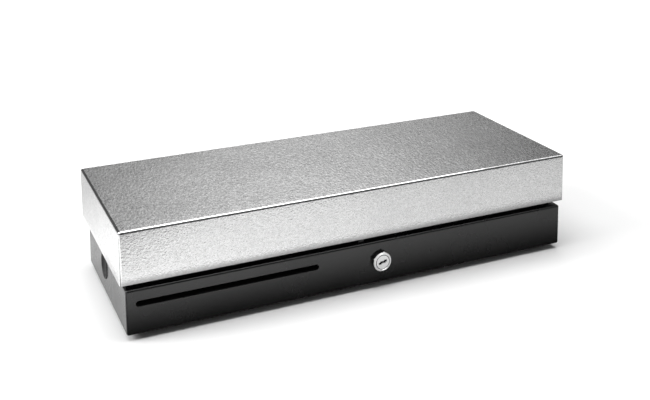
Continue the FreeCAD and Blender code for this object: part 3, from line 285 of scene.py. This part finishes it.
FINISHES = {
    "case_paint": powder_coat("case_powder_coat", 0.004, 0.26, 1.63),
    "frame_paint": powder_coat("frame_powder_coat", 0.007, 0.38, 1.5),
    "lid_steel": grained_steel(),
    "tray_plastic": moulded_plastic("tray_moulding", (0.022, 0.022, 0.024), 0.5),
    "cup_plastic": moulded_plastic("cup_moulding", (0.035, 0.035, 0.038), 0.42, 2200.0),
    "plastic_black": moulded_plastic("guide_moulding", (0.015, 0.015, 0.015), 0.45),
    "zinc_steel": plated_steel("zinc_plate", (0.66, 0.66, 0.62), 0.32),
    "pin_steel": plated_steel("ground_steel", (0.58, 0.58, 0.58), 0.25),
    "spring_steel": plated_steel("spring_wire", (0.30, 0.30, 0.31), 0.3),
    "lock_chrome": chrome(),
    "rubber_black": rubber(),
    "coil_wrap": coil_tape(),
    "switch_plastic": moulded_plastic("switch_moulding", (0.05, 0.05, 0.05), 0.4),
    "jack_plastic": moulded_plastic("jack_moulding", (0.012, 0.012, 0.012), 0.3),
    "cable_sheath": moulded_plastic("cable_sheath", (0.02, 0.02, 0.02), 0.45),
}


def dress(piece, slot):
    """Gives a piece the finish of a material slot."""
    piece.data.materials.clear()
    piece.data.materials.append(FINISHES[slot])


for entry in frame["record"]["subparts"]:
    dress(nodes[entry["node"]], entry["material_slot"])

# ---------------------------------------------------------------- lid


def finished(name, bm, slot, body, *stands_for):
    """Turns a bmesh into a dressed piece that rides on a body in place of CAD nodes."""
    mesh = bpy.data.meshes.new(name)
    bm.to_mesh(mesh)
    bm.free()
    piece = bpy.data.objects.new(name, mesh)
    scene.collection.objects.link(piece)
    for polygon in mesh.polygons:
        polygon.use_smooth = True
    dress(piece, slot)
    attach(piece, body)
    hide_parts(*stands_for)
    return piece


def weigh_normals(piece):
    """Keeps flat faces flat to the eye beside their rounded edges."""
    weights = piece.modifiers.new("weighted_normals", "WEIGHTED_NORMAL")
    weights.keep_sharp = True
    weights.weight = 100


def block(low, high):
    """A box between two corners, as a bmesh."""
    bm = bmesh.new()
    bmesh.ops.create_cube(bm, size=1.0)
    middle = (low + high) / 2
    for vert in bm.verts:
        vert.co = Vector(middle[i] + vert.co[i] * (high[i] - low[i]) for i in range(3))
    return bm


def cut_across(bm, low, high, step):
    """Cuts the mesh into strips about one step wide along each axis."""
    for axis in range(3):
        count = round((high[axis] - low[axis]) / step)
        normal = Vector(1.0 if i == axis else 0.0 for i in range(3))
        for i in range(1, count):
            place = low.copy()
            place[axis] += (high[axis] - low[axis]) * i / count
            everything = bm.verts[:] + bm.edges[:] + bm.faces[:]
            bmesh.ops.bisect_plane(bm, geom=everything, plane_co=place, plane_no=normal)


def lid_skin():
    """Folded lid: one sheet with small bends, hemmed at front and sides, and slightly uneven as rolled."""
    sheet, hem, bend, step = 1.2 * MM, 2.5 * MM, 2.5 * MM, 12.0 * MM
    unevenness, skirt_share, waves_per_m = 0.22 * MM, 0.3, 14.0
    low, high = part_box("lid_shell")
    bm = block(low, high)
    bmesh.ops.delete(bm, geom=[f for f in bm.faces if f.normal.z < -0.5], context="FACES_ONLY")
    folds = [e for e in bm.edges if any(v.co.z > high.z - sheet for v in e.verts)]
    bmesh.ops.bevel(bm, geom=folds, offset=bend, segments=6, profile=0.5, affect="EDGES")
    cut_across(bm, low, high, step)

    for vert in bm.verts:
        gaps = [min(vert.co[i] - low[i], high[i] - vert.co[i]) for i in range(3)]
        on = min(range(3), key=lambda i: gaps[i] if i < 2 else high.z - vert.co.z)
        inside = min(gap for i, gap in enumerate(gaps) if i != on)
        calm = min(1.0, max(0.0, inside - bend) / (2.0 * step))
        if vert.co[on] in (low[on], high[on]) or on == 2 or calm > 0.0:
            swell = unevenness * calm * noise.noise(vert.co * waves_per_m)
            vert.co[on] += swell * (skirt_share if on < 2 else 1.0)

    rim = [e for e in bm.edges if e.is_boundary and min(v.co.y for v in e.verts) < high.y - bend]
    turned = bmesh.ops.extrude_edge_only(bm, edges=rim)["geom"]
    for vert in (g for g in turned if isinstance(g, bmesh.types.BMVert)):
        vert.co.x = max(low.x + hem, min(high.x - hem, vert.co.x))
        vert.co.y = max(low.y + hem, vert.co.y)
    bmesh.ops.remove_doubles(bm, verts=bm.verts, dist=0.001 * MM)
    bmesh.ops.recalc_face_normals(bm, faces=bm.faces)
    piece = finished("lid_skin", bm, "lid_steel", "lid", "lid_shell")
    solid = piece.modifiers.new("sheet", "SOLIDIFY")
    solid.thickness = sheet
    solid.offset = -1.0
    solid.use_even_offset = True
    weigh_normals(piece)


lid_skin()

# ---------------------------------------------------------------- springs


def wound(node):
    """The same coil as the CAD node's, copied into its own piece with the spring-steel finish."""
    source = nodes[node]
    mesh = source.data.copy()
    mesh.transform(source.matrix_world)
    piece = bpy.data.objects.new(f"{node}_coil", mesh)
    scene.collection.objects.link(piece)
    dress(piece, "spring_steel")
    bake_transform(piece)
    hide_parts(node)


def springs():
    """Copies of the two torsion springs, which wind up as the lid closes, and of the plunger's spring; the
    copies keep their CAD shape.
    """
    for side in ("left", "right"):
        wound(f"torsion_spring_{side}")
    wound("plunger_spring")


springs()

# ---------------------------------------------------------------- studio


def floor():
    """Pale table top. What the drawer mirrors of it is darker close to the drawer, far ahead and behind."""
    size = 14.0
    bpy.ops.mesh.primitive_plane_add(size=size, location=(0.0, 0.0, 0.0))
    table = bpy.context.object
    table.name = "studio_floor"
    s = Shader("pale_floor")
    parts = s.add("ShaderNodeSeparateXYZ", {"Vector": s.place}).outputs
    # Painted reflection: to glossy rays the floor is painted darker close to the drawer, far ahead, towards
    # the right and behind, standing for the shade the drawer would mirror.
    ahead = s.maths("SUBTRACT", FRONT, parts["Y"])
    near = s.maths("POWER", s.remap(ahead, 0.0, 0.08, 0.02, 1.0), 1.6)
    far_start = s.remap(parts["X"], -0.19, -0.05, 0.155, 0.32)
    far = s.remap(s.maths("SUBTRACT", ahead, far_start), 0.0, 0.1, 1.0, 0.05)
    across = s.remap(parts["X"], -0.1, 0.45, 1.0, 0.62)
    mirrored = s.maths("MULTIPLY", s.maths("MULTIPLY", near, far), across)
    behind = s.maths("MULTIPLY", s.maths("LESS_THAN", ahead, 0.0), s.remap(parts["Y"], 0.1, 0.3, 1.0, 0.5))
    mirrored = s.maths("MAXIMUM", mirrored, behind)
    glossy = s.add("ShaderNodeLightPath").outputs["Is Glossy Ray"]
    share = s.maths("MULTIPLY", glossy, s.maths("SUBTRACT", 1.0, mirrored))
    cloud = s.mix(s.noise(3.0, 2.0), grey(0.88), grey(0.9))
    s.set(Base_Color=s.mix(share, cloud, grey(0.0)), Roughness=0.8, Specular_IOR_Level=0.0)
    # Painted light: the floor glows more the farther it lies from the drawer, washing out the drawer's far
    # shadow.
    away = s.add("ShaderNodeVectorMath", {0: s.place}, operation="LENGTH").outputs["Value"]
    lift = s.maths("ADD", s.remap(away, 0.28, 0.5, 0.0, 0.22), s.remap(away, 0.7, 1.6, 0.0, 0.4))
    glow = s.maths("MULTIPLY", lift, s.maths("SUBTRACT", 1.0, share))
    s.set(Emission_Color=grey(1.0), Emission_Strength=glow)
    table.data.materials.append(s.material)


def world():
    """Studio surround: a dim horizon, a soft card low behind the drawer that its lid mirrors, a low grey
    wall with a dark gap in front of the drawer, and a bright ceiling."""
    surround = bpy.data.worlds.new("studio")
    scene.world = surround
    surround.use_nodes = True
    tree = surround.node_tree

    def node(kind, *inputs, **settings):
        item = tree.nodes.new(kind)
        for name, value in settings.items():
            setattr(item, name, value)
        for index, value in enumerate(inputs):
            if isinstance(value, bpy.types.NodeSocket):
                tree.links.new(value, item.inputs[index])
            elif value is not None:
                item.inputs[index].default_value = value
        return item.outputs

    def ramp(value, *limits):
        """A smooth step between two values, given as low, high, new low and new high."""
        return node("ShaderNodeMapRange", value, *limits, interpolation_type="SMOOTHSTEP")[0]

    def times(first, second):
        return node("ShaderNodeMath", first, second, operation="MULTIPLY")[0]

    def brighter(first, second):
        return node("ShaderNodeMath", first, second, operation="MAXIMUM")[0]

    direction = node("ShaderNodeTexCoord")["Generated"]
    parts = node("ShaderNodeSeparateXYZ", direction)
    per_radian = math.degrees(1.0)
    rise = times(node("ShaderNodeMath", parts["Z"], operation="ARCSINE")[0], per_radian)
    bearing = times(node("ShaderNodeMath", parts["X"], parts["Y"], operation="ARCTAN2")[0], per_radian)
    card_width = times(ramp(bearing, 0.0, 22.0, 0.0, 1.0), ramp(bearing, 23.0, 40.0, 1.0, 0.1))
    card = times(ramp(rise, 13.0, 27.0, 0.0, 1.0), card_width)
    ceiling = ramp(rise, 45.0, 82.0, 0.0, 1.0)
    gap = math.radians(158.0)
    gap_axis = (math.sin(gap), math.cos(gap), 0.0)
    toward_gap = node("ShaderNodeVectorMath", direction, gap_axis, operation="DOT_PRODUCT")[1]
    beside_gap = ramp(toward_gap, 0.7, 0.9, 1.0, 0.0)
    in_front = ramp(parts["Y"], -0.1, -0.5, 0.0, 1.0)
    wall = times(times(ramp(rise, 4.0, 20.0, 0.0, 1.0), beside_gap), in_front)
    wall = times(wall, ramp(rise, 22.0, 34.0, 1.0, 0.0))
    light = brighter(times(card, CARD_LEVEL), times(ceiling, CEILING_LEVEL))
    light = brighter(light, times(wall, WALL_LEVEL))
    light = brighter(light, HORIZON_LEVEL)
    background = tree.nodes["Background"]
    tree.links.new(light, background.inputs["Color"])
    background.inputs["Strength"].default_value = 1.0


def softbox(name, place, target, width, height, power):
    """A rectangular area light facing a point."""
    data = bpy.data.lights.new(name, "AREA")
    data.shape = "RECTANGLE"
    data.size = width
    data.size_y = height
    data.energy = power
    lamp = bpy.data.objects.new(name, data)
    lamp.location = place
    lamp.rotation_mode = "QUATERNION"
    lamp.rotation_quaternion = (Vector(target) - Vector(place)).to_track_quat("-Z", "Y")
    scene.collection.objects.link(lamp)
    return lamp


def camera():
    """Camera at the photographer's place, with its lens shifted down so that upright edges lean little."""
    lens_shift = -0.3643
    data = bpy.data.cameras.new("camera")
    data.sensor_width = 36.0
    data.lens = 55.43
    data.shift_x = -0.0014
    data.clip_start = 0.01
    eye = bpy.data.objects.new("camera", data)
    yaw, pitch, roll = (math.radians(a) for a in (23.88, 8.49, -0.45))
    forward = Vector((math.sin(yaw) * math.cos(pitch), math.cos(yaw) * math.cos(pitch), -math.sin(pitch)))
    level = Vector((math.cos(yaw), -math.sin(yaw), 0.0))
    up = level.cross(forward)
    right = level * math.cos(roll) + up * math.sin(roll)
    above = up * math.cos(roll) - level * math.sin(roll)
    home = Vector((-0.392, -0.8875, 0.448))
    eye.matrix_world = Matrix.Translation(home) @ Matrix((right, above, -forward)).transposed().to_4x4()
    scene.collection.objects.link(eye)
    scene.camera = eye

    # The shift belongs to this place only: it fades out once the camera is moved to look from another side.
    marker = bpy.data.objects.new("camera_home", None)
    marker.location = home
    scene.collection.objects.link(marker)
    curve = data.driver_add("shift_y")
    curve.driver.type = "AVERAGE"
    away = curve.driver.variables.new()
    away.type = "LOC_DIFF"
    away.targets[0].id = eye
    away.targets[1].id = marker
    for modifier in list(curve.modifiers):
        curve.modifiers.remove(modifier)
    for distance, value in ((0.0, lens_shift), (0.05, lens_shift), (0.1, 0.0)):
        point = curve.keyframe_points.insert(distance, value)
        point.interpolation = "LINEAR"
    curve.extrapolation = "CONSTANT"


floor()
world()
softbox("overhead_softbox", (0.0, -0.05, 1.7), (0.0, 0.0, 0.0), 2.2, 1.2, 27.0)
fill = softbox("overhead_fill", (1.6, -0.05, 1.7), (1.6, -0.05, 0.0), 1.0, 1.2, 5.0)
fill.visible_diffuse = False  # it is only mirrored, mainly in the right end of the lid's front fold
softbox("left_key", (-1.5, 0.2, 1.0), (0.0, 0.0, 0.05), 0.9, 0.9, 22.0)
camera()
scene.view_settings.view_transform = "Standard"
